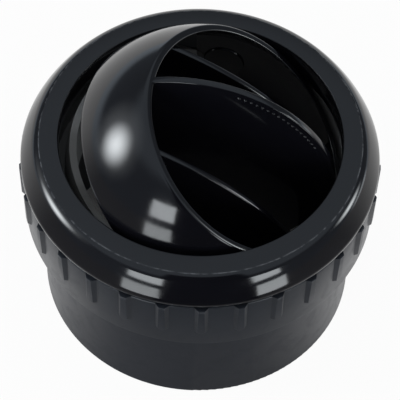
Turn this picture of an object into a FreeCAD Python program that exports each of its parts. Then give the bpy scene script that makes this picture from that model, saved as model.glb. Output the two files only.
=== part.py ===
import FreeCAD, Part
import math
import os
import re
import Sketcher

# Round air outlet with a tilting, swivelling ball. Millimetres, +Z out of the face,
# origin at the centre of the duct spigot's open end.

SIZES = {
    # housing
    "face_height": 64.6,
    "duct_radius": 45.0,
    "spigot_wall": 2.6,
    "spigot_chamfer": 0.8,
    "opening_round": 0.5,
    "crease_drop": 0.9,
    "shoulder_width": 5.3,
    "lip_overhang": 0.7,
    "lip_drop": 9.4,
    "lip_band": 1.0,
    "shoulder_radius": 10.1,
    "flange_wall": 1.9,
    "flange_root_drop": 4.0,
    "skirt_step": 1.4,
    "skirt_wall": 2.2,
    "skirt_drop": 28.0,
    "throat_wall": 2.2,
    "throat_gap": 0.4,
    "core_drop": 3.0,
    "tenon_length": 4.0,
    "tenon_clearance": 0.1,
    # snaps that hold the spigot in the skirt
    "snap_count": 4,
    "snap_width": 7.0,
    "snap_height": 1.8,
    "snap_reach": 1.2,
    "snap_clearance": 0.2,
    "snap_root": 0.6,
    # clamp ring
    "clamp_wall": 3.6,
    "clamp_gap": 1.8,
    "clamp_height": 18.4,
    "thread_clearance": 0.1,
    "clamp_chamfer": 0.4,
    "rib_count": 29,
    "rib_width": 3.7,
    "rib_length": 13.2,
    "rib_end_radius": 2.4,
    "rib_rise": 1.2,
    "rib_foot_rise": 0.8,
    "rib_chamfer": 0.3,
    "rib_draft": 30.0,
    "rib_root": 0.6,
    "rib_phase": 2.0,
    # ball
    "seat_lap": 0.5,
    "ball_drop": 14.6,
    "ball_wall": 1.7,
    "ball_clearance": 0.4,
    "mouth_offset": 20.7,
    "mouth_round": 0.6,
    "rear_offset": 2.0,
    "swing_azimuth": -9.0,
    "tilt_angle": 38.0,
    "vane_spacing": 17.6,
    "vane_thickness": 2.0,
    "vane_back": 2.0,
    "grip_inset": 1.1,
    "grip_seam": 7.9,
    "side_inset": 0.3,
    "side_sag": 5.2,
    "side_seam": 4.2,
    "vane_round": 0.5,
    "dot_count": 17,
    "dot_inset": 2.1,
    "dot_span": 43.6,
    "dot_radius": 0.5,
    "dot_rise": 0.35,
    # pivots
    "pin_radius": 2.2,
    "pin_clearance": 0.05,
    "pin_seat": 0.02,
    "pin_depth": 1.4,
    "pin_end_gap": 0.3,
    "pin_inset": 0.4,
    "lug_margin": 1.6,
    "washer_width": 2.15,
    # swivel ring
    "ring_clearance": 1.0,
    "ring_wall": 2.4,
    "ring_play": 0.3,
    "ring_top": 5.0,
    "shield_clearance": 0.4,
    "shield_wall": 2.0,
    "shield_tilt": 12.0,
    "shield_plane": 3.0,
    "web_drop": 3.2,
    "web_half_angle": 78.0,
    # brake under the swivel ring
    "brake_thickness": 0.75,
    "brake_gap": 0.05,
    "brake_inset": 0.2,
    # how far cutters run past what they cut, and how deep pads root in their carrier
    "overrun": 2.0,
    "overlap": 0.5,
}

doc = FreeCAD.newDocument("eyeball_vent")
sheet = doc.addObject("Spreadsheet::Sheet", "Sizes")
for row, (name, number) in enumerate(SIZES.items(), start=1):
    sheet.set("A%d" % row, name)
    sheet.set("B%d" % row, str(number))
    sheet.setAlias("B%d" % row, name)
doc.recompute()

XY, XZ, YZ = "XY_Plane", "XZ_Plane", "YZ_Plane"
TURN = 360.0


def size(text):
    """Value of an expression written with the sheet's names."""
    return float(sheet.evalExpression(bound(text)))


def bound(text):
    """The same expression with every name pointing at its cell."""
    return re.sub("[a-z_]+", lambda m: "Sizes." + m[0] if m[0] in SIZES else m[0], text)


def new_body(label):
    body = doc.addObject("PartDesign::Body", label)
    body.Label = label
    return body


def origin_plane(body, role):
    return next(item for item in body.Origin.OriginFeatures if item.Role == role)


def new_sketch(body, name, role, offset=None):
    """A sketch on an origin plane of its own body, moved along the plane's normal."""
    sketch = body.newObject("Sketcher::SketchObject", name)
    sketch.AttachmentSupport = (origin_plane(body, role), [""])
    sketch.MapMode = "FlatFace"
    if offset is not None:
        sketch.setExpression("AttachmentOffset.Base.z", bound(offset))
    doc.recompute()
    return sketch


def pin_coordinate(sketch, edge, end, kind, text):
    """Binds one coordinate of a sketch point to an expression."""
    number = size(text)
    if abs(number) < 1e-9:
        axis = -2 if kind == "DistanceX" else -1
        sketch.addConstraint(Sketcher.Constraint("PointOnObject", edge, end, axis))
        return
    if number > 0:
        rule = Sketcher.Constraint(kind, -1, 1, edge, end, number)
        text = bound(text)
    else:
        rule = Sketcher.Constraint(kind, edge, end, -1, 1, -number)
        text = "-(%s)" % bound(text)
    sketch.setExpression("Constraints[%d]" % sketch.addConstraint(rule), text)


def arc_between(start, stop, radius, side):
    """Arc of a radius from start to stop, its centre on the left (1) or right (-1)."""
    middle = (start + stop) * 0.5
    along = (stop - start).normalize()
    left = FreeCAD.Vector(-along.y, along.x, 0)
    half = start.distanceToPoint(stop) / 2
    centre = middle + left * (side * math.sqrt(radius * radius - half * half))
    angles = [math.atan2(p.y - centre.y, p.x - centre.x) for p in (start, stop)]
    if side < 0:
        angles.reverse()
    circle = Part.Circle(centre, FreeCAD.Vector(0, 0, 1), radius)
    return Part.ArcOfCircle(circle, angles[0], angles[1])


def draw_outline(sketch, corners, arcs=None):
    """Closed outline through corners, given as pairs of expressions.

    arcs maps a corner's index to (radius, side) where the edge that leaves it is an arc.
    """
    arcs = arcs or {}
    points = [FreeCAD.Vector(size(x), size(y), 0) for x, y in corners]
    count = len(points)
    ends = []
    for i in range(count):
        start, stop = points[i], points[(i + 1) % count]
        if i in arcs:
            radius, side = arcs[i]
            edge = sketch.addGeometry(arc_between(start, stop, size(radius), side))
            ends.append((edge, 1, 2) if side > 0 else (edge, 2, 1))
        else:
            edge = sketch.addGeometry(Part.LineSegment(start, stop))
            ends.append((edge, 1, 2))
    for i in range(count):
        edge, first, last = ends[i]
        following = ends[(i + 1) % count]
        sketch.addConstraint(
            Sketcher.Constraint("Coincident", edge, last, following[0], following[1]))
        pin_coordinate(sketch, edge, first, "DistanceX", corners[i][0])
        pin_coordinate(sketch, edge, first, "DistanceY", corners[i][1])
        if i in arcs:
            number = sketch.addConstraint(
                Sketcher.Constraint("Radius", edge, size(arcs[i][0])))
            sketch.setExpression("Constraints[%d]" % number, bound(arcs[i][0]))
    doc.recompute()


def draw_circle(sketch, radius):
    """Circle of a bound radius about the sketch's origin."""
    circle = Part.Circle(FreeCAD.Vector(), FreeCAD.Vector(0, 0, 1), size(radius))
    edge = sketch.addGeometry(circle)
    sketch.addConstraint(Sketcher.Constraint("Coincident", edge, 3, -1, 1))
    number = sketch.addConstraint(Sketcher.Constraint("Radius", edge, size(radius)))
    sketch.setExpression("Constraints[%d]" % number, bound(radius))
    doc.recompute()


def turned(body, name, kind, corners, arcs=None, angle=None):
    """Turns an outline about the body's Z axis: a Revolution adds, a Groove cuts."""
    sketch = new_sketch(body, name + "_section", XZ)
    draw_outline(sketch, corners, arcs)
    feature = body.newObject("PartDesign::" + kind, name)
    feature.Profile = sketch
    feature.ReferenceAxis = (sketch, ["V_Axis"])
    feature.Angle = TURN
    if angle is not None:
        feature.setExpression("Angle", bound(angle))
        feature.Midplane = True
    doc.recompute()
    return feature


def prism(body, name, kind, sketch, length, both_ways=False, backwards=False):
    """Pad or Pocket of a sketch along its normal."""
    feature = body.newObject("PartDesign::" + kind, name)
    feature.Profile = sketch
    feature.setExpression("Length", bound(length))
    feature.Midplane = both_ways
    feature.Reversed = backwards
    doc.recompute()
    return feature


def around(body, name, feature, count):
    """Repeats a feature round the body's Z axis."""
    pattern = body.newObject("PartDesign::PolarPattern", name)
    pattern.Originals = [feature]
    axis = next(item for item in body.Origin.OriginFeatures if item.Role == "Z_Axis")
    pattern.Axis = (axis, [""])
    pattern.Angle = TURN
    pattern.setExpression("Occurrences", bound(count))
    body.Tip = pattern
    doc.recompute()
    return pattern


def round_edges(body, name, base, radius, wanted):
    """Fillet on the edges of the last feature that the test picks."""
    names = ["Edge%d" % (i + 1) for i, edge in enumerate(base.Shape.Edges) if wanted(edge)]
    fillet = body.newObject("PartDesign::Fillet", name)
    fillet.Base = (base, names)
    fillet.setExpression("Radius", bound(radius))
    doc.recompute()
    return fillet


def is_ring(edge, radius, height):
    """True for a full circle about Z of a radius at a height."""
    if not hasattr(edge.Curve, "Radius") or len(edge.Vertexes) > 1:
        return False
    centre = edge.Curve.Center
    off_axis = math.hypot(centre.x, centre.y)
    near = abs(edge.Curve.Radius - radius) < 1e-4 and abs(centre.z - height) < 1e-4
    return near and off_axis < 1e-4


def stand(item, height, azimuth="0", tilt="0"):
    """Places a sub-part: a turn about Z, then a tilt about its own Y, at a height."""
    place = "placement(vector(0; 0; %s); rotation(%s; %s; 0))"
    item.setExpression("Placement", bound(place % (height, azimuth, tilt)))


def minus(text):
    """The same expression with its sign turned."""
    return "-( %s )" % text


def at_radius(radius, other):
    """Distance along one axis of a point on a circle, from its distance along the other."""
    return "sqrt( %s ^ 2 - ( %s ) ^ 2 )" % (radius, other)


def total(*terms):
    """Sum of expressions, kept together in brackets."""
    return "( %s )" % " + ".join(terms)


# Shared places, all written once: radii from the duct inwards and outwards, then heights
SKIRT_RADIUS = total("duct_radius", "skirt_step")
CLAMP_BORE = total(SKIRT_RADIUS, "thread_clearance")
CLAMP_RADIUS = total(CLAMP_BORE, "clamp_wall")
FLANGE_RADIUS = total(CLAMP_RADIUS, "lip_overhang")
CREASE_RADIUS = total(FLANGE_RADIUS, "-shoulder_width")
SKIRT_BORE = total(SKIRT_RADIUS, "-skirt_wall")
TENON = total(SKIRT_BORE, "-tenon_clearance")
DUCT_BORE = total("duct_radius", "-spigot_wall")
RING_OUTER = total(SKIRT_BORE, "-ring_play")
RING_BORE = total(RING_OUTER, "-ring_wall")
BALL_RADIUS = total(RING_BORE, "-ring_clearance")
OPENING_RADIUS = total(BALL_RADIUS, "-seat_lap")
SEAT_SPHERE = total(BALL_RADIUS, "ball_clearance")
BALL_BORE = total(BALL_RADIUS, "-ball_wall")
SHIELD = total(BALL_BORE, "-shield_clearance")
SHIELD_BORE = total(SHIELD, "-shield_wall")
VANE_ENVELOPE = total(SHIELD_BORE, "-shield_clearance")
ARC_MIDDLE = total(BALL_RADIUS, "-ball_wall / 2")
GRIP_RADIUS = total(BALL_RADIUS, "-grip_inset")
DOT_ROW = total(GRIP_RADIUS, "-dot_inset")
PIN_BORE = total("pin_radius", "pin_clearance")
WASHER_RADIUS = total(PIN_BORE, "washer_width")
LUG_RADIUS = total(WASHER_RADIUS, "lug_margin")
LUG_FACE = at_radius(BALL_RADIUS, WASHER_RADIUS)
PAD_FACE = at_radius(RING_BORE, WASHER_RADIUS)
EAR_FACE = at_radius(SHIELD, LUG_RADIUS)
CENTRE = total("face_height", "-ball_drop")
THROAT_DROP = total("ball_drop", "-ring_top", "-throat_gap")
CLAMP_TOP = total("lip_drop", "clamp_gap")
CLAMP_END = total(CLAMP_TOP, "clamp_height")
TENON_TOP = total("skirt_drop", "-tenon_length")
RING_END = total(TENON_TOP, "-brake_thickness", "-brake_gap", "-ball_drop")
SNAP_LOW = total("tenon_length / 2", "-skirt_drop", "-snap_height / 2")
GRIP_ROOT = total("mouth_offset", "-grip_seam")
SIDE_CROWN = total("mouth_offset", "-side_inset")
SIDE_END = total(SIDE_CROWN, "-side_sag")
SIDE_ROOT = total(SIDE_END, "-side_seam")
SIDES = (1, -1)


def bezel():
    """Trim flange, throat with the ball's upper seat, and the threaded skirt, one moulding."""
    body = new_body("bezel")
    lip_inside = FLANGE_RADIUS + " - flange_wall"
    seat_end = "ball_drop - " + THROAT_DROP
    corners = [
        (OPENING_RADIUS, "0"),
        (OPENING_RADIUS, at_radius(SEAT_SPHERE, OPENING_RADIUS) + " - ball_drop"),
        (at_radius(SEAT_SPHERE, seat_end), "-" + THROAT_DROP),
        (OPENING_RADIUS + " + throat_wall", "-" + THROAT_DROP),
        (OPENING_RADIUS + " + throat_wall", "- core_drop"),
        (SKIRT_BORE, "- core_drop"),
        (SKIRT_BORE, "- skirt_drop"),
        (SKIRT_RADIUS, "- skirt_drop"),
        (SKIRT_RADIUS, "- flange_root_drop"),
        (lip_inside, "- lip_drop + lip_band"),
        (lip_inside, "- lip_drop"),
        (FLANGE_RADIUS, "- lip_drop"),
        (FLANGE_RADIUS, "- lip_drop + lip_band"),
        (CREASE_RADIUS, "- crease_drop"),
    ]
    arcs = {1: (SEAT_SPHERE, -1), 12: ("shoulder_radius", 1)}
    main = turned(body, "bezel_turned", "Revolution", corners, arcs)
    wanted = lambda edge: is_ring(edge, size(OPENING_RADIUS), 0)
    round_edges(body, "opening_edge", main, "opening_round", wanted)
    window = new_sketch(body, "snap_window", YZ)
    rectangle(window, "snap_width / 2 + snap_clearance", SNAP_LOW + " - snap_clearance",
              SNAP_LOW + " + snap_height + snap_clearance")
    cut = prism(body, "snap_window_cut", "Pocket", window,
                SKIRT_RADIUS + " + overrun", backwards=True)
    around(body, "snap_windows", cut, "snap_count")
    stand(body, "face_height")
    return body


def rectangle(sketch, half_width, low, high):
    """Rectangle centred on the sketch's vertical axis."""
    draw_outline(sketch, [
        (minus(half_width), low), (half_width, low),
        (half_width, high), (minus(half_width), high)])


def duct_spigot():
    """Pipe end for the duct, with a tenon that snaps into the skirt."""
    body = new_body("duct_spigot")
    tenon_foot = "face_height - skirt_drop"
    tenon_top = "face_height - " + TENON_TOP
    corners = [
        (DUCT_BORE, "0"), ("duct_radius", "0"), ("duct_radius", tenon_foot),
        (TENON, tenon_foot), (TENON, tenon_top), (DUCT_BORE, tenon_top)]
    main = turned(body, "spigot_turned", "Revolution", corners)
    wanted = lambda edge: is_ring(edge, size("duct_radius"), 0)
    round_edges(body, "spigot_edge", main, "spigot_chamfer", wanted)
    snap = new_sketch(body, "snap_outline", YZ, TENON + " - snap_root")
    rectangle(snap, "snap_width / 2", "face_height + " + SNAP_LOW,
              "face_height + " + SNAP_LOW + " + snap_height")
    pad = prism(body, "snap_pad", "Pad", snap, "snap_root + snap_reach")
    around(body, "snaps", pad, "snap_count")
    return body


def clamp_ring():
    """Grooved nut on the skirt that pulls the flange against the panel."""
    body = new_body("clamp_ring")
    corners = [
        (CLAMP_BORE, "0"), (CLAMP_RADIUS, "0"),
        (CLAMP_RADIUS, "clamp_height - clamp_chamfer"),
        (CLAMP_RADIUS + " - clamp_chamfer", "clamp_height"), (CLAMP_BORE, "clamp_height")]
    turned(body, "clamp_turned", "Revolution", corners)
    # the ribs start below the wall's surface and narrow outwards by their draft
    half = "( rib_width / 2 + rib_root * tan( rib_draft ) )"
    bottom = "clamp_height - rib_length"
    corner = bottom + " + rib_end_radius - " + at_radius("rib_end_radius", half)
    sketch = new_sketch(body, "rib_outline", YZ, CLAMP_RADIUS + " - rib_root")
    draw_outline(sketch, [
        (half, "clamp_height + overrun"), (minus(half), "clamp_height + overrun"),
        (minus(half), corner), (half, corner)], {2: ("rib_end_radius", 1)})
    rib = prism(body, "rib_pad", "Pad", sketch, "rib_root + rib_rise + overlap")
    rib.setExpression("TaperAngle", bound("- rib_draft"))
    around(body, "ribs", rib, "rib_count")
    crest = CLAMP_RADIUS + " + rib_rise"
    far = crest + " + overrun"
    turned(body, "rib_crests", "Groove", [
        (CLAMP_RADIUS + " + rib_foot_rise", bottom), (far, bottom),
        (far, "clamp_height + 2 * overrun"), (CLAMP_BORE, "clamp_height + 2 * overrun"),
        (CLAMP_BORE, "clamp_height"), (crest + " - rib_chamfer", "clamp_height"),
        (crest, "clamp_height - rib_chamfer")])
    stand(body, "face_height - " + CLAMP_END, "rib_phase - 90")
    return body


def swivel_ring():
    """Turning ring that carries the ball on its pins, with the rear shield."""
    body = new_body("swivel_ring")
    turned(body, "ring_turned", "Revolution", [
        (RING_BORE, "-" + RING_END), (RING_OUTER, "-" + RING_END),
        (RING_OUTER, "ring_top"), (RING_BORE, "ring_top")])
    crown = "shield_plane + " + SHIELD + " * sin( shield_tilt ) + overlap"
    low = "-" + RING_END
    turned(body, "shield", "Revolution", [
        (minus(at_radius(SHIELD_BORE, RING_END)), low),
        (minus(RING_BORE + " + overlap"), low),
        (minus(RING_BORE + " + overlap"), "- web_drop"),
        (minus(at_radius(SHIELD, "web_drop")), "- web_drop"),
        (minus(at_radius(SHIELD, crown)), crown),
        (minus(at_radius(SHIELD_BORE, crown)), crown)],
        {3: (SHIELD, -1), 5: (SHIELD_BORE, 1)}, "2 * web_half_angle")
    trim = new_sketch(body, "shield_rim", XZ)
    reach = RING_BORE
    rise = " * tan( shield_tilt )"
    middle = "shield_plane / cos( shield_tilt )"
    draw_outline(trim, [
        ("0", middle), (minus(reach), middle + " + " + reach + rise),
        (minus(reach), BALL_RADIUS), ("0", BALL_RADIUS)])
    prism(body, "shield_rim_cut", "Pocket", trim, "2 * duct_radius", both_ways=True)
    for side in SIDES:
        seat = pivot_disc(body, "washer_seat", side, WASHER_RADIUS, PAD_FACE)
        prism(body, "washer_seat_pad", "Pad", seat, "ring_clearance", backwards=side < 0)
        hole = pivot_disc(body, "pin_hole", side, "pin_radius + pin_seat",
                          RING_BORE + " - overrun")
        prism(body, "pin_hole_cut", "Pocket", hole, RING_OUTER + " - " + RING_BORE
              + " + 2 * overrun", backwards=side > 0)
    stand(body, CENTRE, "swing_azimuth")
    return body


def pivot_disc(body, name, side, radius, distance):
    """Circle about the pivot axis on a plane at a distance from the ball's centre."""
    sign = "" if side > 0 else "-"
    sketch = new_sketch(body, name, XZ, "%s( %s )" % (sign, distance))
    draw_circle(sketch, radius)
    return sketch


def ball():
    """Ball shell with three cross vanes, one moulding; mouth towards its own +Z."""
    body = new_body("ball")
    back = "- rear_offset"
    main = turned(body, "shell", "Revolution", [
        (at_radius(BALL_RADIUS, "rear_offset"), back),
        (at_radius(BALL_RADIUS, "mouth_offset"), "mouth_offset"),
        (at_radius(BALL_BORE, "mouth_offset"), "mouth_offset"),
        (at_radius(BALL_BORE, "rear_offset"), back)],
        {0: (BALL_RADIUS, 1), 2: (BALL_BORE, -1)})
    rims = [size(at_radius(edge, "mouth_offset")) for edge in (BALL_RADIUS, BALL_BORE)]
    wanted = lambda edge: any(is_ring(edge, rim, size("mouth_offset")) for rim in rims)
    round_edges(body, "mouth_edges", main, "mouth_round", wanted)
    for side in SIDES:
        lug = pivot_disc(body, "lug", side, LUG_RADIUS, EAR_FACE)
        prism(body, "lug_pad", "Pad", lug, "ball_wall", backwards=side < 0)
        flat = pivot_disc(body, "lug_flat", side, WASHER_RADIUS, LUG_FACE)
        prism(body, "lug_flat_cut", "Pocket", flat, "overrun", backwards=side > 0)
        hole = pivot_disc(body, "pin_bore", side, PIN_BORE, LUG_FACE + " - pin_depth")
        prism(body, "pin_bore_cut", "Pocket", hole, "pin_depth + overrun", backwards=side > 0)
    grip_vane(body)
    for side in SIDES:
        side_vane(body, side)
    stand(body, CENTRE, "swing_azimuth", "tilt_angle")
    return body


def vane_outline(sketch, root, root_x, top, top_x, arch, envelope):
    """Vane seen from its side: arched front, ends in the wall, sides inside the shield."""
    root_in = at_radius(envelope, root)
    back_in = at_radius(envelope, "vane_back")
    draw_outline(sketch, [
        (top_x, top), (minus(top_x), top), (minus(root_x), root), (minus(root_in), root),
        (minus(back_in), "- vane_back"), (back_in, "- vane_back"), (root_in, root),
        (root_x, root)],
        {0: (arch, 1), 3: (envelope, 1), 5: (envelope, 1)})


def grip_vane(body):
    """Middle vane, taller than the mouth, with a row of grip dots on each face."""
    sketch = new_sketch(body, "grip_vane_outline", XZ)
    plate = total(GRIP_RADIUS, "-vane_round")
    top = "( mouth_offset - mouth_round - overrun )"
    root_x = at_radius(ARC_MIDDLE, GRIP_ROOT)
    vane_outline(sketch, GRIP_ROOT, root_x, top, at_radius(plate, top), plate, VANE_ENVELOPE)
    prism(body, "grip_vane", "Pad", sketch, "vane_thickness", both_ways=True)
    edge = new_sketch(body, "grip_vane_edge", YZ)
    half, flat = "vane_thickness / 2", "vane_thickness / 2 - vane_round"
    draw_outline(edge, [
        (minus(half), plate + " - overlap"), (half, plate + " - overlap"), (half, plate),
        (flat, GRIP_RADIUS), (minus(flat), GRIP_RADIUS), (minus(half), plate)],
        {2: ("vane_round", 1), 4: ("vane_round", 1)})
    bead = body.newObject("PartDesign::Revolution", "grip_vane_front")
    bead.Profile = edge
    bead.ReferenceAxis = (edge, ["H_Axis"])
    bead.Midplane = True
    bead.setExpression("Angle", bound("2 * acos( %s / %s )" % (top, GRIP_RADIUS)))
    doc.recompute()
    dots = new_sketch(body, "grip_dot", XZ)
    across = DOT_ROW + " * sin( dot_span / 2 )"
    up = DOT_ROW + " * cos( dot_span / 2 )"
    circle = dots.addGeometry(Part.Circle(
        FreeCAD.Vector(size(across), size(up), 0), FreeCAD.Vector(0, 0, 1), size("dot_radius")))
    pin_coordinate(dots, circle, 3, "DistanceX", across)
    pin_coordinate(dots, circle, 3, "DistanceY", up)
    number = dots.addConstraint(Sketcher.Constraint("Radius", circle, size("dot_radius")))
    dots.setExpression("Constraints[%d]" % number, bound("dot_radius"))
    dot = prism(body, "grip_dot_pad", "Pad", dots, "vane_thickness + 2 * dot_rise",
                both_ways=True)
    row = body.newObject("PartDesign::PolarPattern", "grip_dots")
    row.Originals = [dot]
    axis = next(item for item in body.Origin.OriginFeatures if item.Role == "Y_Axis")
    row.Axis = (axis, [""])
    row.Reversed = True
    row.setExpression("Angle", bound("dot_span"))
    row.setExpression("Occurrences", bound("dot_count"))
    body.Tip = row
    doc.recompute()


def side_vane(body, side):
    """Outer vane, its gently arched front flush with the mouth in the middle."""
    plane = "%s vane_spacing" % ("" if side > 0 else "-")
    sketch = new_sketch(body, "side_vane_outline", XZ, plane)
    wall_at = "sqrt( " + ARC_MIDDLE + " ^ 2 - vane_spacing ^ 2 - %s ^ 2 )"
    end_x = wall_at % SIDE_END
    arch = "( ( %s ) ^ 2 + side_sag ^ 2 ) / ( 2 * side_sag )" % end_x
    envelope = "sqrt( " + VANE_ENVELOPE + " ^ 2 - ( vane_spacing + vane_thickness / 2 ) ^ 2 )"
    vane_outline(sketch, SIDE_ROOT, wall_at % SIDE_ROOT, SIDE_END, end_x, arch, envelope)
    vane = prism(body, "side_vane", "Pad", sketch, "vane_thickness", both_ways=True)
    radius = size(arch)
    wanted = lambda edge: (hasattr(edge.Curve, "Radius")
                           and abs(edge.Curve.Radius - radius) < 1e-3
                           and edge.CenterOfMass.y * side < 0)
    round_edges(body, "side_vane_edges", vane, "vane_round", wanted)


def tilt_pins():
    """Two plain pins pressed into the swivel ring, their inner ends in the ball's lugs."""
    body = new_body("tilt_pins")
    body.AllowCompound = True
    inner = LUG_FACE + " - pin_depth + pin_end_gap"
    for side in SIDES:
        shank = pivot_disc(body, "pin_shank", side, "pin_radius", inner)
        prism(body, "pin_shank_pad", "Pad", shank,
              RING_OUTER + " - pin_inset - ( " + inner + " )", backwards=side < 0)
    stand(body, CENTRE, "swing_azimuth")
    return body


def pivot_washers():
    """Thin washers that keep the ball centred between the two ring seats."""
    body = new_body("pivot_washers")
    body.AllowCompound = True
    thickness = PAD_FACE + " - " + LUG_FACE + " - pin_clearance"
    for side in SIDES:
        disc = pivot_disc(body, "washer", side, WASHER_RADIUS,
                          LUG_FACE + " + pin_clearance")
        draw_circle(disc, PIN_BORE)
        prism(body, "washer_pad", "Pad", disc, thickness, backwards=side < 0)
    stand(body, CENTRE, "swing_azimuth")
    return body


def brake_ring():
    """Friction ring on the tenon's edge under the swivel ring."""
    body = new_body("brake_ring")
    sketch = new_sketch(body, "brake_outline", XY)
    draw_circle(sketch, TENON)
    draw_circle(sketch, DUCT_BORE + " + brake_inset")
    prism(body, "brake_pad", "Pad", sketch, "brake_thickness")
    stand(body, "face_height - " + TENON_TOP)
    return body


parts = [bezel(), duct_spigot(), clamp_ring(), brake_ring(), swivel_ring(), tilt_pins(),
         pivot_washers(), ball()]
doc.recompute()

os.makedirs("parts", exist_ok=True)
for item in doc.Objects:
    if "Invalid" in item.State or "Error" in item.State:
        raise RuntimeError("%s did not recompute: %s" % (item.Name, item.State))
for item in parts:
    shape = item.Shape
    if shape.isNull() or not shape.isValid():
        raise RuntimeError("%s has no valid solid" % item.Label)
    shape.exportStep("parts/%s.step" % item.Label)
    box = shape.BoundBox
    print(item.Label, len(shape.Solids), round(shape.Volume),
          [round(v, 2) for v in (box.XMin, box.YMin, box.ZMin, box.XMax, box.YMax, box.ZMax)])
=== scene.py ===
from math import acos, asin, cos, degrees, hypot, pi, radians, sin, sqrt, tan

import bmesh
import bpy
from mathutils import Matrix, Vector


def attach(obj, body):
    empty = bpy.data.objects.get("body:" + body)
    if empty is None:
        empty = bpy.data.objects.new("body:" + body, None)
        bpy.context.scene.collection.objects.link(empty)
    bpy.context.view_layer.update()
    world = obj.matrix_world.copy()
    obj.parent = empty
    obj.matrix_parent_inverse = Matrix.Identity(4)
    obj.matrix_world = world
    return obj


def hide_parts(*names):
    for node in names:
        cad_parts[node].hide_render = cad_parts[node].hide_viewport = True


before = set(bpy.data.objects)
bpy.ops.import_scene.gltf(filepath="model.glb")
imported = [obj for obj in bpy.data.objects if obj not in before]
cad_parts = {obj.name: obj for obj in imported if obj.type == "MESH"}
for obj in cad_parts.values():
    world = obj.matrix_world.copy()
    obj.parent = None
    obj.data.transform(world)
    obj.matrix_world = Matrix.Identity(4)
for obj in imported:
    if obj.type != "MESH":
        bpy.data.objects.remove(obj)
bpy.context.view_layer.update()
print("frame loaded:", ", ".join(sorted(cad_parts)))

mm = 0.001
faceHeight = 64.6
ballCentre = Vector((0, 0, 50.0))
swing = radians(-9)  # the mouth leans towards +X, turned this far
tilt = radians(38)
ballPlace = Matrix.Translation(ballCentre) @ Matrix.Rotation(swing, 4, "Z") @ Matrix.Rotation(tilt, 4, "Y")


# Modelling helpers, all in millimetres until the mesh is finished

def arc(centreR, centreZ, radius, startDeg, endDeg, steps):
    # points of a circular arc in the section plane, angles from +R towards +Z
    turn = radians(endDeg - startDeg) / steps
    first = radians(startDeg)
    return [(centreR + radius * cos(first + turn * i), centreZ + radius * sin(first + turn * i))
            for i in range(steps + 1)]


def turned(bm, section, steps):
    # a closed section in the XZ plane, spun once round Z
    mergeGap = 1e-4
    verts = [bm.verts.new((r, 0, z)) for r, z in section]
    edges = [bm.edges.new(pair) for pair in zip(verts, verts[1:] + verts[:1])]
    bmesh.ops.spin(bm, geom=verts + edges, cent=(0, 0, 0), axis=(0, 0, 1), angle=2 * pi,
                   steps=steps, use_merge=True)
    bmesh.ops.remove_doubles(bm, verts=bm.verts, dist=mergeGap)
    bmesh.ops.recalc_face_normals(bm, faces=bm.faces)


def ringEdges(bm, rings):
    # the edges that lie on circles given as (radius, height)
    near, level = 0.02, 0.01

    def onRing(vert):
        r = hypot(vert.co.x, vert.co.y)
        return any(abs(r - ringR) < near and abs(vert.co.z - ringZ) < near for ringR, ringZ in rings)
    return [edge for edge in bm.edges if all(onRing(vert) for vert in edge.verts)
            and abs(edge.verts[0].co.z - edge.verts[1].co.z) < level]


def soften(bm, edges, offset, segments):
    bmesh.ops.bevel(bm, geom=edges, offset=offset, segments=segments, profile=0.5, material=-1,
                    affect="EDGES", clamp_overlap=True)


def addPart(bm, part):
    # takes in another bmesh's faces and frees it
    mesh = bpy.data.meshes.new("part")
    part.to_mesh(mesh)
    part.free()
    bm.from_mesh(mesh)
    bpy.data.meshes.remove(mesh)


def finished(bm, name, place=None, sharpAngle=32):
    # millimetres to metres, smooth faces, sharp edges kept by angle
    if place is not None:
        bmesh.ops.transform(bm, matrix=place, verts=bm.verts)
    bmesh.ops.scale(bm, vec=(mm, mm, mm), verts=bm.verts)
    limit = radians(sharpAngle)
    for face in bm.faces:
        face.smooth = True
    for edge in bm.edges:
        if len(edge.link_faces) == 2 and edge.calc_face_angle(0) > limit:
            edge.smooth = False
    mesh = bpy.data.meshes.new(name)
    bm.to_mesh(mesh)
    bm.free()
    piece = bpy.data.objects.new(name, mesh)
    bpy.context.scene.collection.objects.link(piece)
    return piece


def dress(piece, node, body, material):
    # its material, the body it moves with and the CAD node it stands for
    piece.data.materials.clear()
    piece.data.materials.append(material)
    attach(piece, body)
    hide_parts(node)


def smoothCopy(node, name, body, material):
    # the CAD node's own shape with welded corners, so that it shades smoothly
    weldGap = 2e-6  # in metres, as the node is
    bm = bmesh.new()
    bm.from_mesh(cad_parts[node].data)
    bmesh.ops.remove_doubles(bm, verts=bm.verts, dist=weldGap)
    bmesh.ops.scale(bm, vec=(1 / mm, 1 / mm, 1 / mm), verts=bm.verts)
    dress(finished(bm, name, sharpAngle=26), node, body, material)


# Node helpers for every material, the world and the lamps

def emptyTree(owner):
    owner.use_nodes = True
    owner.node_tree.nodes.clear()
    return owner.node_tree


def addNode(tree, kind, settings=None, inputs=None):
    # inputs are linked where a socket is given, and set where a value is
    node = tree.nodes.new(kind)
    for key, value in (settings or {}).items():
        setattr(node, key, value)
    for key, value in (inputs or {}).items():
        if isinstance(value, bpy.types.NodeSocket):
            tree.links.new(value, node.inputs[key])
        else:
            node.inputs[key].default_value = value
    return node


def maths(tree, operation, *values):
    # gives the result, where vectorMaths gives all the node's outputs
    return addNode(tree, "ShaderNodeMath", {"operation": operation}, dict(enumerate(values))).outputs[0]


def vectorMaths(tree, operation, *values):
    return addNode(tree, "ShaderNodeVectorMath", {"operation": operation}, dict(enumerate(values))).outputs


def lengthOf(tree, vector):
    return vectorMaths(tree, "LENGTH", vector)["Value"]


def flatAndHeight(tree, vector):
    # a vector laid flat, and its height
    parts = addNode(tree, "ShaderNodeSeparateXYZ", None, {0: vector})
    flat = addNode(tree, "ShaderNodeCombineXYZ", None, {0: parts.outputs["X"], 1: parts.outputs["Y"]})
    return flat.outputs[0], parts.outputs["Z"]


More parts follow.
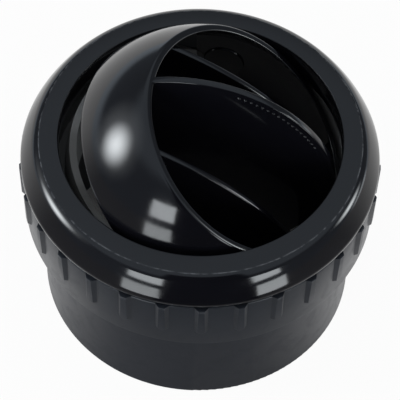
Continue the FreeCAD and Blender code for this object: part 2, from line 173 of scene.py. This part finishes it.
def noise(tree, vector, scale, detail, roughness, distortion=0.0):
    node = addNode(tree, "ShaderNodeTexNoise", None, {
        "Vector": vector, "Scale": scale, "Detail": detail, "Roughness": roughness, "Distortion": distortion})
    return node.outputs["Fac"]


def ramp(tree, value, low, high, start=0.0, end=1.0, shape="SMOOTHSTEP"):
    # a change from start to end while the value goes from low to high
    node = addNode(tree, "ShaderNodeMapRange", {"interpolation_type": shape}, {
        "Value": value, "From Min": low, "From Max": high, "To Min": start, "To Max": end})
    return node.outputs["Result"]


def between(tree, share, first, second):
    node = addNode(tree, "ShaderNodeMix", {"data_type": "FLOAT"}, {"Factor": share, 2: first, 3: second})
    return node.outputs[0]


def betweenColours(tree, share, first, second):
    node = addNode(tree, "ShaderNodeMix", {"data_type": "RGBA"}, {"Factor": share, 6: first, 7: second})
    return node.outputs[2]


# Node groups that several finishes share

def newGroup(name, inputs, outputs):
    group = bpy.data.node_groups.new(name, "ShaderNodeTree")
    for label, kind, value in inputs:
        socket = group.interface.new_socket(name=label, in_out="INPUT", socket_type=kind)
        if value is not None:
            socket.default_value = value
    for label, kind in outputs:
        group.interface.new_socket(name=label, in_out="OUTPUT", socket_type=kind)
    return group, group.nodes.new("NodeGroupInput"), group.nodes.new("NodeGroupOutput")


skinLook = {
    # scales are waves per metre, and smears lie between two limits of their noise; the flow weighs
    # flowShare beside the smears and flowHeight beside the grain, and middle is the mean taken off
    "flowScale": 55.0, "smearScale": 160.0, "smearFrom": 0.42, "smearTo": 0.72,
    "flowShare": 0.5, "middle": 0.4, "flowHeight": 1.5,
}
wearSheenLook = {
    # waves per metre, the patches' limits in their noise, and the roughness that wear adds
    "patchScale": 420.0, "patchFrom": 0.4, "patchTo": 0.62, "rougher": 0.08,
}


def mouldedSkin(look):
    # fine moulding grain, slow flow waves and faint handling smears
    group, source, sink = newGroup("mouldedSkin", [
        ("Vector", "NodeSocketVector", None), ("Grain Size", "NodeSocketFloat", 0.0004),
        ("Roughness", "NodeSocketFloat", 0.2), ("Spread", "NodeSocketFloat", 0.05)],
        [("Roughness", "NodeSocketFloat"), ("Grain", "NodeSocketFloat"), ("Tone", "NodeSocketFloat")])
    given = source.outputs
    grainScale = maths(group, "DIVIDE", 1.0, given["Grain Size"])
    grain = noise(group, given["Vector"], grainScale, detail=2.0, roughness=0.55)
    flow = noise(group, given["Vector"], look["flowScale"], detail=3.0, roughness=0.5)
    smear = noise(group, given["Vector"], look["smearScale"], detail=5.0, roughness=0.62, distortion=0.8)
    patch = ramp(group, smear, look["smearFrom"], look["smearTo"])
    uneven = maths(group, "MULTIPLY_ADD", flow, look["flowShare"], patch)
    centred = maths(group, "SUBTRACT", uneven, look["middle"])
    rough = maths(group, "MULTIPLY_ADD", centred, given["Spread"], given["Roughness"])
    height = maths(group, "MULTIPLY_ADD", flow, look["flowHeight"], grain)
    for label, value in (("Roughness", rough), ("Grain", height), ("Tone", flow)):
        group.links.new(value, sink.inputs[label])
    return group


def wearAndSheenRing(look):
    # a band round Z at one radius and height, broken up by noise: partly wear where hands and neighbours rub,
    # partly a painted highlight along the edge
    group, source, sink = newGroup("wearAndSheenRing", [
        ("Vector", "NodeSocketVector", None), ("Radius", "NodeSocketFloat", 0.05),
        ("Height", "NodeSocketFloat", 0.05), ("Width", "NodeSocketFloat", 0.0005)],
        [("Mask", "NodeSocketFloat")])
    given = source.outputs
    flat, height = flatAndHeight(group, given["Vector"])
    offRadius = maths(group, "SUBTRACT", lengthOf(group, flat), given["Radius"])
    offHeight = maths(group, "SUBTRACT", height, given["Height"])
    away = addNode(group, "ShaderNodeCombineXYZ", None, {0: offRadius, 1: offHeight}).outputs[0]
    near = ramp(group, lengthOf(group, away), 0.0, given["Width"], 1.0, 0.0)
    broken = noise(group, given["Vector"], look["patchScale"], detail=4.0, roughness=0.65)
    patch = ramp(group, broken, look["patchFrom"], look["patchTo"])
    group.links.new(maths(group, "MULTIPLY", near, patch), sink.inputs["Mask"])
    return group


skinGroup = mouldedSkin(skinLook)
wearSheenGroup = wearAndSheenRing(wearSheenLook)


# Plastics

def plastic(name, look):
    # moulded plastic: base colour, roughness with smears, grain as bump, edge rings lightened partly by wear
    # and partly as painted highlight
    material = bpy.data.materials.new(name)
    tree = emptyTree(material)
    coords = addNode(tree, "ShaderNodeTexCoord").outputs["Object"]
    place = addNode(tree, "ShaderNodeMapping", None, {
        "Vector": coords, "Location": look.get("shift", (0.0, 0.0, 0.0))})
    skin = addNode(tree, "ShaderNodeGroup", {"node_tree": skinGroup}, {
        "Vector": place.outputs[0], "Grain Size": look["grainSize"],
        "Roughness": look["roughness"], "Spread": look["spread"]})
    colour = betweenColours(tree, skin.outputs["Tone"], (*look["dark"], 1), (*look["light"], 1))
    rough = skin.outputs["Roughness"]
    for radius, height, width in look.get("wearSheenRings", ()):
        wearSheen = addNode(tree, "ShaderNodeGroup", {"node_tree": wearSheenGroup}, {
            "Vector": coords, "Radius": radius * mm, "Height": height * mm, "Width": width * mm})
        colour = betweenColours(tree, wearSheen.outputs["Mask"], colour, (*look["wearSheenColour"], 1))
        rough = maths(tree, "MULTIPLY_ADD", wearSheen.outputs["Mask"], wearSheenLook["rougher"], rough)
    if "etched" in look:
        rough = etchedFace(tree, coords, rough, look["etched"])
    bump = addNode(tree, "ShaderNodeBump", None, {
        "Strength": look["bump"], "Distance": look["grainDepth"], "Height": skin.outputs["Grain"]})
    shader = addNode(tree, "ShaderNodeBsdfPrincipled", None, {
        "Base Color": colour, "Roughness": rough, "Normal": bump.outputs[0], "IOR": 1.5})
    addNode(tree, "ShaderNodeOutputMaterial", None, {"Surface": shader.outputs[0]})
    return material


def etchedFace(tree, coords, rough, face):
    # the flat trim face is finely etched, the shoulder outside it is polished
    flat, height = flatAndHeight(tree, coords)
    inside = ramp(tree, lengthOf(tree, flat), (face["radius"] - face["fade"]) * mm,
                  (face["radius"] + face["fade"]) * mm, face["rougher"], 0.0, "LINEAR")
    above = ramp(tree, height, (face["height"] - face["rise"]) * mm, face["height"] * mm, shape="LINEAR")
    return maths(tree, "ADD", rough, maths(tree, "MULTIPLY", inside, above))


# wear and sheen rings are (radius, height, width) in millimetres, their lighter colour partly wear and partly
# painted edge highlight; grain sizes, depths and shifts are in metres
bezelLook = {
    "dark": (0.0028, 0.0028, 0.0042), "light": (0.0042, 0.0042, 0.006), "wearSheenColour": (0.09, 0.094, 0.102),
    "roughness": 0.09, "spread": 0.04, "grainSize": 0.0006, "grainDepth": 0.00001, "bump": 0.1,
    "etched": {"radius": 45.45, "height": 63.4, "rougher": 0.24, "fade": 0.05, "rise": 0.2},
    # the pale crease ring is a painted highlight line; the lip and opening rings are partly wear, partly
    # painted sheen
    "wearSheenRings": [(50.8, 55.3, 0.3), (45.5, 63.7, 0.28), (40.0, 64.6, 0.12)],
}
ballLook = {
    "dark": (0.0028, 0.0028, 0.0042), "light": (0.0042, 0.0042, 0.006),
    "roughness": 0.1, "spread": 0.05, "grainSize": 0.0007, "grainDepth": 0.00001, "bump": 0.1,
    "shift": (0.03, 0.01, 0.0),
}
clampLook = {
    "dark": (0.010, 0.012, 0.017), "light": (0.014, 0.017, 0.023), "wearSheenColour": (0.04, 0.043, 0.05),
    "roughness": 0.34, "spread": 0.08, "grainSize": 0.00025, "grainDepth": 0.00003, "bump": 0.14,
    "wearSheenRings": [(51.25, 52.9, 0.7), (50.1, 35.1, 0.4)],
}
spigotLook = {
    "dark": (0.009, 0.011, 0.016), "light": (0.013, 0.015, 0.021), "wearSheenColour": (0.04, 0.043, 0.05),
    "roughness": 0.42, "spread": 0.08, "grainSize": 0.0003, "grainDepth": 0.00003, "bump": 0.25,
    "wearSheenRings": [(45.0, 0.4, 0.9)], "shift": (0.0, 0.04, 0.02),
}
# the ring's grey is painted light: lighter than the other plastics so that the band beside the ball looks lit
ringPaintedLitLook = {
    "dark": (0.15, 0.155, 0.157), "light": (0.19, 0.195, 0.198),
    "roughness": 0.4, "spread": 0.06, "grainSize": 0.0004, "grainDepth": 0.00002, "bump": 0.2,
    "shift": (0.02, 0.0, 0.05),
}
washerLook = {
    "dark": (0.62, 0.6, 0.54), "light": (0.72, 0.7, 0.64),
    "roughness": 0.35, "spread": 0.08, "grainSize": 0.0002, "grainDepth": 0.00002, "bump": 0.2,
}
brakeLook = {
    "dark": (0.02, 0.02, 0.02), "light": (0.035, 0.035, 0.034),
    "roughness": 0.85, "spread": 0.1, "grainSize": 0.00018, "grainDepth": 0.0001, "bump": 0.6,
}
pinLook = {
    "dark": (0.012, 0.012, 0.014), "light": (0.02, 0.02, 0.022),
    "roughness": 0.3, "spread": 0.06, "grainSize": 0.0003, "grainDepth": 0.00002, "bump": 0.2,
}

bezelPlastic = plastic("bezelPlastic", bezelLook)
ballPlastic = plastic("ballPlastic", ballLook)
clampPlastic = plastic("clampPlastic", clampLook)
spigotPlastic = plastic("spigotPlastic", spigotLook)
ringPaintedLitPlastic = plastic("ringPaintedLitPlastic", ringPaintedLitLook)
washerPlastic = plastic("washerPlastic", washerLook)
brakeRubber = plastic("brakeRubber", brakeLook)
pinPlastic = plastic("pinPlastic", pinLook)
print("materials ready")


# Bezel, its heights counted down from the face

bezelSize = {
    "opening": 40.0, "openingRound": 0.5, "crease": 45.5, "creaseDrop": 0.9, "creaseRound": 0.25,
    "flange": 50.8, "lipDrop": 9.4, "lipBand": 1.0, "wall": 1.9, "lipRound": 0.35,
    "shoulderLow": 22.0, "shoulderMiddle": 35.0, "shoulderTop": 66.0, "topSteps": 12, "lowSteps": 8,
    "insideIn": 0.8, "insideDown": 0.6, "insideEvery": 3, "flangeRoot": 4.0,
    "skirt": 46.4, "skirtBore": 44.2, "skirtDrop": 28.0, "throat": 42.2, "throatDrop": 9.2,
    "coreDrop": 3.0, "seat": 40.9, "seatSteps": 5, "ballDrop": faceHeight - ballCentre.z,
    "steps": 240,
}


def shoulderArcs(size):
    # two arcs that run into each other, from the crease down to the lip;
    # the three angles are those of the surface's normal above the flat
    low, middle, top = (radians(size[key]) for key in ("shoulderLow", "shoulderMiddle", "shoulderTop"))
    width = size["flange"] - size["crease"]
    height = size["lipDrop"] - size["lipBand"] - size["creaseDrop"]
    outwards = Matrix(((cos(low) - cos(middle), cos(middle) - cos(top)),
                       (sin(middle) - sin(low), sin(top) - sin(middle))))
    lowR, topR = outwards.inverted() @ Vector((width, height))
    topCentre = (size["crease"] - topR * cos(top), -size["creaseDrop"] - topR * sin(top))
    lowCentre = (size["flange"] - lowR * cos(low), size["lipBand"] - size["lipDrop"] - lowR * sin(low))
    upper = arc(*topCentre, topR, degrees(top), degrees(middle), size["topSteps"])
    lower = arc(*lowCentre, lowR, degrees(middle), degrees(low), size["lowSteps"])
    return upper + lower[1:]


def flangeInside(size, shoulder):
    # up from the lip: the shoulder's points, thinned out, moved in and down by shares of the wall
    inner = size["flange"] - size["wall"]
    moved = [(r - size["wall"] * size["insideIn"], z - size["wall"] * size["insideDown"])
             for r, z in shoulder[::-size["insideEvery"]]]
    return [(min(r, inner), z) for r, z in moved if r > size["skirt"] and z < -size["flangeRoot"]]


def makeBezel(size):
    shoulder = shoulderArcs(size)
    inner = size["flange"] - size["wall"]
    lip = [(size["flange"], -size["lipDrop"]), (inner, -size["lipDrop"])]
    skirt = [(size["skirt"], -size["flangeRoot"]), (size["skirt"], -size["skirtDrop"]),
             (size["skirtBore"], -size["skirtDrop"]), (size["skirtBore"], -size["coreDrop"])]
    seatLow = degrees(asin((size["ballDrop"] - size["throatDrop"]) / size["seat"]))
    seatHigh = degrees(acos(size["opening"] / size["seat"]))
    seat = arc(0, -size["ballDrop"], size["seat"], seatLow, seatHigh, size["seatSteps"])
    outside = [(size["opening"], 0.0)] + shoulder + lip
    bore = [(size["throat"], -size["coreDrop"]), (size["throat"], -size["throatDrop"])] + seat
    bm = bmesh.new()
    turned(bm, outside + flangeInside(size, shoulder) + skirt + bore, size["steps"])
    soften(bm, ringEdges(bm, [(size["opening"], 0.0)]), size["openingRound"], segments=4)
    soften(bm, ringEdges(bm, [(size["crease"], -size["creaseDrop"])]), size["creaseRound"], segments=3)
    soften(bm, ringEdges(bm, lip), size["lipRound"], segments=3)
    return finished(bm, "bezelMoulding", Matrix.Translation((0, 0, faceHeight)))


dress(makeBezel(bezelSize), "bezel", "housing", bezelPlastic)
print("bezel made")


# Clamp ring with its grip ribs

clampSize = {
    "bore": 46.5, "outer": 50.1, "bottom": 35.0, "top": 53.4, "edge": 0.4, "steps": 232,
    "ribs": 29, "ribWidth": 3.7, "ribLength": 13.2, "ribTop": 51.29, "ribFoot": 50.9, "ribRoot": 0.6,
    "draft": 42.0, "footRadius": 2.4, "footSteps": 12, "ribEdge": 0.5, "topEdge": 0.12, "phase": -88.0,
}


def makeRib(size):
    # one rib on the +X side: a drafted block with a round foot, its crest leaning in towards the foot
    bm = bmesh.new()
    slope = tan(radians(size["draft"]))
    rootR = size["outer"] - size["ribRoot"]
    half = size["ribWidth"] / 2 + size["ribRoot"] * slope
    foot = size["top"] - size["ribLength"]
    middle = foot + size["footRadius"]
    reach = degrees(asin(half / size["footRadius"]))
    footArc = arc(0, middle, size["footRadius"], 270 - reach, 270 + reach, size["footSteps"])
    outline = [(half, size["top"]), (-half, size["top"])] + footArc
    base = bm.faces.new([bm.verts.new((rootR, y, z)) for y, z in outline])
    grown = bmesh.ops.extrude_face_region(bm, geom=[base])
    for vert in [part for part in grown["geom"] if isinstance(part, bmesh.types.BMVert)]:
        crestR = size["ribFoot"] + (size["ribTop"] - size["ribFoot"]) * (vert.co.z - foot) / size["ribLength"]
        inset = (crestR - rootR) * slope
        vert.co.x = crestR
        if vert.co.z > middle:
            vert.co.y *= 1 - inset / half
        else:
            narrow = (size["footRadius"] - inset) / size["footRadius"]
            vert.co.y *= narrow
            vert.co.z = middle + (vert.co.z - middle) * narrow
    bmesh.ops.recalc_face_normals(bm, faces=bm.faces)

    # the crest's sharp edges stand out of the ring's wall, the top ones in the ring's top face
    standsOut, sharp = size["outer"] + 0.2, radians(20)
    topHeight, sideHeight = size["top"] - 0.01, size["top"] - 0.5

    def raised(edge):
        return all(vert.co.x > standsOut for vert in edge.verts) and edge.calc_face_angle(0) > sharp
    topEdges = [edge for edge in bm.edges
                if raised(edge) and all(vert.co.z > topHeight for vert in edge.verts)]
    soften(bm, topEdges, size["topEdge"], segments=2)
    sideEdges = [edge for edge in bm.edges
                 if raised(edge) and any(vert.co.z < sideHeight for vert in edge.verts)]
    soften(bm, sideEdges, size["ribEdge"], segments=4)
    return bm


def makeClampRing(size):
    bm = bmesh.new()
    turned(bm, [(size["bore"], size["bottom"]), (size["outer"], size["bottom"]),
                (size["outer"], size["top"]), (size["bore"], size["top"])], size["steps"])
    soften(bm, ringEdges(bm, [(size["outer"], size["bottom"]), (size["outer"], size["top"])]),
           size["edge"], segments=3)
    rib = makeRib(size)
    bmesh.ops.rotate(rib, cent=(0, 0, 0), matrix=Matrix.Rotation(radians(size["phase"]), 3, "Z"),
                     verts=rib.verts)
    copies = size["ribs"] - 1
    bmesh.ops.spin(rib, geom=rib.verts[:] + rib.edges[:] + rib.faces[:], cent=(0, 0, 0), axis=(0, 0, 1),
                   angle=2 * pi * copies / size["ribs"], steps=copies, use_duplicate=True)
    addPart(bm, rib)
    return finished(bm, "clampRingMoulding")


dress(makeClampRing(clampSize), "clamp_ring", "clamp", clampPlastic)
print("clamp ring made")


# Ball with its vanes, centred on the origin with its mouth up until it is finished

ballSize = {
    "outer": 40.5, "wall": 1.7, "mouth": 20.7, "rear": -2.0, "mouthRound": 0.5, "rearRound": 0.3,
    "steps": 240, "wallSteps": 22, "vaneGap": 17.6, "vane": 2.0, "vaneRound": 0.5, "vaneBack": -2.0,
    "envelope": 36.0, "envelopeSteps": 8, "gripRadius": 39.4, "gripRoot": 12.8, "gripDrop": 2.0,
    "gripSteps": 64, "sideCrown": 20.4, "sideEnd": 15.2, "sideRoot": 11.0, "sideSteps": 40,
    "dots": 17, "dotRow": 37.3, "dotSpan": 43.6, "dotRadius": 0.5, "dotRise": 0.35,
    "lugRadius": 6.0, "lugFace": 37.93, "lugDepth": 1.4, "lugRound": 0.25, "lugSteps": 48,
}


def makeShell(size):
    outer, inner = size["outer"], size["outer"] - size["wall"]
    low, high = size["rear"], size["mouth"]
    outerArc = arc(0, 0, outer, degrees(asin(low / outer)), degrees(asin(high / outer)), size["wallSteps"])
    innerArc = arc(0, 0, inner, degrees(asin(high / inner)), degrees(asin(low / inner)), size["wallSteps"])
    bm = bmesh.new()
    turned(bm, outerArc + innerArc, size["steps"])
    soften(bm, ringEdges(bm, [outerArc[-1], innerArc[0]]), size["mouthRound"], segments=4)
    soften(bm, ringEdges(bm, [outerArc[0], innerArc[-1]]), size["rearRound"], segments=3)
    return bm


def addPlate(bm, outline, y, size, frontCount):
    # an outline in the XZ plane given its thickness; its first points are the front, whose edges are rounded
    plate = bmesh.new()
    face = plate.faces.new([plate.verts.new((x, y - size["vane"] / 2, z)) for x, z in outline])
    frontPlaces = [vert.co.copy() for vert in list(face.verts)[:frontCount]]
    grown = bmesh.ops.extrude_face_region(plate, geom=[face])
    moved = [part for part in grown["geom"] if isinstance(part, bmesh.types.BMVert)]
    bmesh.ops.translate(plate, vec=(0, size["vane"], 0), verts=moved)
    bmesh.ops.recalc_face_normals(plate, faces=plate.faces)
    same = 1e-4

    def onFront(vert):
        return any(abs(vert.co.x - place.x) < same and abs(vert.co.z - place.z) < same
                   for place in frontPlaces)
    edges = [edge for edge in plate.edges if all(onFront(vert) for vert in edge.verts)
             and abs(edge.verts[0].co.y - edge.verts[1].co.y) < same]
    soften(plate, edges, size["vaneRound"], segments=3)
    addPart(bm, plate)


def wallX(size, y, z):
    # how far along X the middle of the shell's wall lies
    return sqrt((size["outer"] - size["wall"] / 2) ** 2 - y ** 2 - z ** 2)


def vaneOutline(size, front, root, rootX, envelope):
    # front arch from right to left, then down the left side, across the back and up the right;
    # the sides stay inside the envelope that the ring's shield leaves free
    rootIn = degrees(asin(root / envelope))
    backIn = degrees(asin(size["vaneBack"] / envelope))
    left = arc(0, 0, envelope, 180 - rootIn, 180 - backIn, size["envelopeSteps"])
    right = arc(0, 0, envelope, backIn, rootIn, size["envelopeSteps"])
    return front + [(-rootX, root)] + left + right + [(rootX, root)]


def addGripVane(bm, size):
    top = size["mouth"] - size["mouthRound"] - size["gripDrop"]
    reach = degrees(asin(top / size["gripRadius"]))
    front = arc(0, 0, size["gripRadius"], reach, 180 - reach, size["gripSteps"])
    rootX = wallX(size, 0, size["gripRoot"])
    outline = vaneOutline(size, front, size["gripRoot"], rootX, size["envelope"])
    addPlate(bm, outline, 0.0, size, len(front))
    squash = Matrix.Diagonal((1, size["dotRise"] / size["dotRadius"], 1, 1))
    step = radians(size["dotSpan"]) / (size["dots"] - 1)
    for i in range(size["dots"]):
        angle = step * i - radians(size["dotSpan"]) / 2
        for side in (-1, 1):
            place = Matrix.Translation((size["dotRow"] * sin(angle), side * size["vane"] / 2,
                                        size["dotRow"] * cos(angle)))
            bmesh.ops.create_uvsphere(bm, u_segments=12, v_segments=8, radius=size["dotRadius"],
                                      matrix=place @ squash)


def addSideVane(bm, size, side):
    y = side * size["vaneGap"]
    endX = wallX(size, y, size["sideEnd"])
    sag = size["sideCrown"] - size["sideEnd"]
    arch = (endX ** 2 + sag ** 2) / (2 * sag)
    reach = degrees(asin(endX / arch))
    front = arc(0, size["sideCrown"] - arch, arch, 90 - reach, 90 + reach, size["sideSteps"])
    envelope = sqrt(size["envelope"] ** 2 - (size["vaneGap"] + size["vane"] / 2) ** 2)
    outline = vaneOutline(size, front, size["sideRoot"], wallX(size, y, size["sideRoot"]), envelope)
    addPlate(bm, outline, y, size, len(front))


def addLugs(bm, size):
    # the bosses inside the shell that take the pins
    insideFace = size["lugFace"] + 0.01
    for side in (-1, 1):
        middle = side * (size["lugFace"] + size["lugDepth"] / 2)
        lug = bmesh.new()
        place = Matrix.Translation((0, middle, 0)) @ Matrix.Rotation(pi / 2, 4, "X")
        bmesh.ops.create_cone(lug, cap_ends=True, segments=size["lugSteps"], radius1=size["lugRadius"],
                              radius2=size["lugRadius"], depth=size["lugDepth"], matrix=place)
        inside = [edge for edge in lug.edges if all(abs(vert.co.y) < insideFace for vert in edge.verts)]
        soften(lug, inside, size["lugRound"], segments=5)
        addPart(bm, lug)


def makeBall(size):
    bm = makeShell(size)
    addGripVane(bm, size)
    for side in (-1, 1):
        addSideVane(bm, size, side)
    addLugs(bm, size)
    return finished(bm, "ballMoulding", ballPlace)


dress(makeBall(ballSize), "ball", "eyeball", ballPlastic)
print("ball made")


# Pieces that keep the CAD shape

smoothCopy("duct_spigot", "ductSpigot", "housing", spigotPlastic)
smoothCopy("brake_ring", "brakeRing", "housing", brakeRubber)
smoothCopy("swivel_ring", "swivelRing", "rotor", ringPaintedLitPlastic)
smoothCopy("tilt_pins", "tiltPins", "rotor", pinPlastic)
smoothCopy("pivot_washers", "pivotWashers", "rotor", washerPlastic)
print("carried pieces dressed")


# Floor, world, lamps and camera

studio = {
    # what the gloss sees: dim walls that are pale low down at the back, a pale ceiling,
    # and a dark opening behind the camera; glow is the light on everything matt
    "glow": 0.45, "tint": (0.77, 0.88, 1.0), "wallsFront": 0.22, "wallsBack": 1.0, "ceiling": 0.64,
    "backLow": 2.0, "backHigh": 9.0, "ceilingLow": 30.0, "ceilingHigh": 42.0,
    "opening": 0.02, "openingAzimuth": 175.0, "openingHalf": 23.0, "openingFade": 3.0, "openingTop": 56.0,
    # how far back a direction points, from -1 on the camera's side to 1 behind the object
    "front": -0.98, "side": -0.2, "back": 0.5,
}
floorLook = {
    # shares of plain white: what the camera sees, and what the gloss sees near the object
    # and far from it, a painted pool of light; inside the duct the floor gives no light of its own, a painted
    # shadow
    "half": 3.0, "paper": (0.8, 0.8, 0.8), "whiteSeen": 0.95, "duct": 0.0436,
    "nearFront": 0.2, "nearSide": 0.95, "farFront": 0.2, "farBack": 0.9, "nearEnd": 0.09, "farStart": 0.14,
}


def roomSides(tree, vector, look):
    # how far back a direction points, and how far it lies in the dark opening
    level = vectorMaths(tree, "NORMALIZE", flatAndHeight(tree, vector)[0])["Vector"]
    back = addNode(tree, "ShaderNodeSeparateXYZ", None, {0: level}).outputs["Y"]
    middle = radians(look["openingAzimuth"])
    facing = vectorMaths(tree, "DOT_PRODUCT", level, (sin(middle), cos(middle), 0.0))["Value"]
    inside = ramp(tree, facing, cos(radians(look["openingHalf"] + look["openingFade"])),
                  cos(radians(look["openingHalf"])))
    return back, inside


def seenDirectly(tree, rays):
    return maths(tree, "MAXIMUM", rays["Is Camera Ray"], rays["Is Transmission Ray"])


def makeFloor(look, room):
    bm = bmesh.new()
    bmesh.ops.create_grid(bm, x_segments=1, y_segments=1, size=look["half"])
    mesh = bpy.data.meshes.new("studioFloor")
    bm.to_mesh(mesh)
    bm.free()
    floor = bpy.data.objects.new("studioFloor", mesh)
    bpy.context.scene.collection.objects.link(floor)
    material = bpy.data.materials.new("floorPaper")
    tree = emptyTree(material)
    coords = addNode(tree, "ShaderNodeTexCoord").outputs["Object"]
    distance = lengthOf(tree, coords)
    # painted shadow: inside the duct's bore the floor gets no glow
    outside = maths(tree, "GREATER_THAN", distance, look["duct"])
    back, opening = roomSides(tree, coords, room)
    # what the gloss sees is a painted pool of light, bright beside and behind the object and dark towards the
    # camera
    near = ramp(tree, back, room["front"], room["side"], look["nearFront"], look["nearSide"])
    far = ramp(tree, back, room["side"], room["back"], look["farFront"], look["farBack"])
    farDark = between(tree, opening, far, room["opening"])
    farShare = ramp(tree, distance, look["nearEnd"], look["farStart"])
    mirrored = between(tree, farShare, near, farDark)
    rays = addNode(tree, "ShaderNodeLightPath").outputs
    seen = maths(tree, "MULTIPLY", seenDirectly(tree, rays), look["whiteSeen"])
    lit = maths(tree, "MAXIMUM", seen, rays["Is Glossy Ray"])
    share = maths(tree, "MULTIPLY", lit, outside)
    level = between(tree, rays["Is Glossy Ray"], 1.0, mirrored)
    paper = addNode(tree, "ShaderNodeBsdfDiffuse", None, {"Color": (*look["paper"], 1)})
    white = addNode(tree, "ShaderNodeEmission", None, {"Color": (1, 1, 1, 1), "Strength": level})
    mixed = addNode(tree, "ShaderNodeMixShader", None, {0: share, 1: paper.outputs[0], 2: white.outputs[0]})
    addNode(tree, "ShaderNodeOutputMaterial", None, {"Surface": mixed.outputs[0]})
    mesh.materials.append(material)


def makeWorld(look):
    world = bpy.data.worlds.new("studioWorld")
    bpy.context.scene.world = world
    tree = emptyTree(world)
    coords = addNode(tree, "ShaderNodeTexCoord").outputs["Generated"]
    height = addNode(tree, "ShaderNodeSeparateXYZ", None, {0: coords}).outputs["Z"]
    back, opening = roomSides(tree, coords, look)

    def rise(low, high, start, end):
        # a change while the direction climbs from one elevation to another
        return ramp(tree, height, sin(radians(low)), sin(radians(high)), start, end)
    behind = rise(look["backLow"], look["backHigh"], look["wallsBack"], look["wallsFront"])
    walls = ramp(tree, back, look["side"], look["back"], look["wallsFront"], behind)
    above = rise(look["ceilingLow"], look["ceilingHigh"], 0.0, 1.0)
    room = between(tree, above, walls, look["ceiling"])
    below = rise(look["openingTop"] - look["openingFade"], look["openingTop"] + look["openingFade"], 1.0, 0.0)
    mirrored = between(tree, maths(tree, "MULTIPLY", opening, below), room, look["opening"])
    rays = addNode(tree, "ShaderNodeLightPath").outputs
    backdrop = between(tree, seenDirectly(tree, rays), look["glow"], 1.0)
    strength = between(tree, rays["Is Glossy Ray"], backdrop, mirrored)
    colour = betweenColours(tree, rays["Is Glossy Ray"], (1, 1, 1, 1), (*look["tint"], 1))
    light = addNode(tree, "ShaderNodeBackground", None, {"Color": colour, "Strength": strength})
    addNode(tree, "ShaderNodeOutputWorld", None, {"Surface": light.outputs[0]})


lampTint = (0.92, 0.97, 1, 1)
lamps = {
    # azimuth from +Y towards +X, elevation and half sizes in degrees, distance from the ball in metres;
    # softness is the share of the half size, up to the edge, over which the light fades out
    "leftBox": {"azimuth": -91, "elevation": 22, "halfWidth": 17, "halfHeight": 17,
                "radiance": 16.0, "softness": 1.0, "distance": 1.2, "isRound": True},
    "leftHalo": {"azimuth": -88, "elevation": 24, "halfWidth": 30, "halfHeight": 26,
                 "radiance": 1.6, "softness": 1.0, "distance": 1.2, "isRound": True},
    "rightBox": {"azimuth": 84, "elevation": 20, "halfWidth": 14, "halfHeight": 12,
                 "radiance": 13.0, "softness": 1.0, "distance": 1.2, "isRound": True},
    "rightLowBox": {"azimuth": 76, "elevation": 1, "halfWidth": 12, "halfHeight": 8,
                    "radiance": 2.0, "softness": 0.6, "distance": 1.2, "isRound": False},
    "frontLeftPaneTop": {"azimuth": -153.3, "elevation": 12.5, "halfWidth": 9.8, "halfHeight": 7.2,
                         "radiance": 7.5, "softness": 0.12, "distance": 1.2, "isRound": False},
    # the low panes stand close, because further out the floor would cut them off
    "frontLeftPaneLow": {"azimuth": -153.3, "elevation": -3.3, "halfWidth": 9.8, "halfHeight": 6,
                         "radiance": 5.0, "softness": 0.12, "distance": 0.3, "isRound": False},
    "frontRightPaneTop": {"azimuth": 143, "elevation": 12.5, "halfWidth": 8, "halfHeight": 7.2,
                          "radiance": 7.5, "softness": 0.12, "distance": 1.2, "isRound": False},
    "frontRightPaneLow": {"azimuth": 143, "elevation": -3.3, "halfWidth": 8, "halfHeight": 6,
                          "radiance": 6.0, "softness": 0.12, "distance": 0.3, "isRound": False},
}


def lampFade(tree, look):
    # 1 in the middle of the box and 0 at its edge, over the soft share
    place = addNode(tree, "ShaderNodeNewGeometry").outputs["Parametric"]
    centred = vectorMaths(tree, "MULTIPLY_ADD", place, (2.0, 2.0, 0.0), (-1.0, -1.0, 0.0))["Vector"]
    full = 1 - look["softness"]
    if look["isRound"]:
        return ramp(tree, lengthOf(tree, centred), full, 1.0, 1.0, 0.0)
    parts = addNode(tree, "ShaderNodeSeparateXYZ", None, {0: centred}).outputs
    fades = [ramp(tree, maths(tree, "ABSOLUTE", parts[axis]), full, 1.0, 1.0, 0.0) for axis in ("X", "Y")]
    return maths(tree, "MULTIPLY", *fades)


def makeLamp(name, look):
    azimuth, elevation = radians(look["azimuth"]), radians(look["elevation"])
    direction = Vector((sin(azimuth) * cos(elevation), cos(azimuth) * cos(elevation), sin(elevation)))
    lamp = bpy.data.lights.new(name, "AREA")
    lamp.shape = "RECTANGLE"
    width = 2 * look["distance"] * tan(radians(look["halfWidth"]))
    height = 2 * look["distance"] * tan(radians(look["halfHeight"]))
    lamp.size, lamp.size_y = width, height
    lamp.energy = look["radiance"] * pi * width * height
    tree = emptyTree(lamp)
    glow = addNode(tree, "ShaderNodeEmission", None, {"Color": lampTint, "Strength": lampFade(tree, look)})
    addNode(tree, "ShaderNodeOutputLight", None, {"Surface": glow.outputs[0]})
    holder = bpy.data.objects.new(name, lamp)
    holder.location = ballCentre * mm + direction * look["distance"]
    holder.rotation_euler = direction.to_track_quat("Z", "Y").to_euler()
    holder.visible_camera = False
    bpy.context.scene.collection.objects.link(holder)


photoView = {
    # fitted to the round edges in the photograph; millimetres for the lens, metres and degrees for the place
    "sensor": 36.0, "lens": 228.34, "near": 0.05, "far": 20.0,
    "place": (0.0, -0.41815, 0.63947), "turn": (34.565, -1.071, 1.505),
}


def makeCamera(look):
    camera = bpy.data.cameras.new("photoCamera")
    camera.sensor_width = look["sensor"]
    camera.lens = look["lens"]
    camera.clip_start, camera.clip_end = look["near"], look["far"]
    holder = bpy.data.objects.new("photoCamera", camera)
    holder.location = look["place"]
    holder.rotation_euler = [radians(angle) for angle in look["turn"]]
    bpy.context.scene.collection.objects.link(holder)
    bpy.context.scene.camera = holder


makeFloor(floorLook, studio)
makeWorld(studio)
for name, look in lamps.items():
    makeLamp(name, look)
makeCamera(photoView)
bpy.context.scene.view_settings.view_transform = "Standard"
print("stage ready")
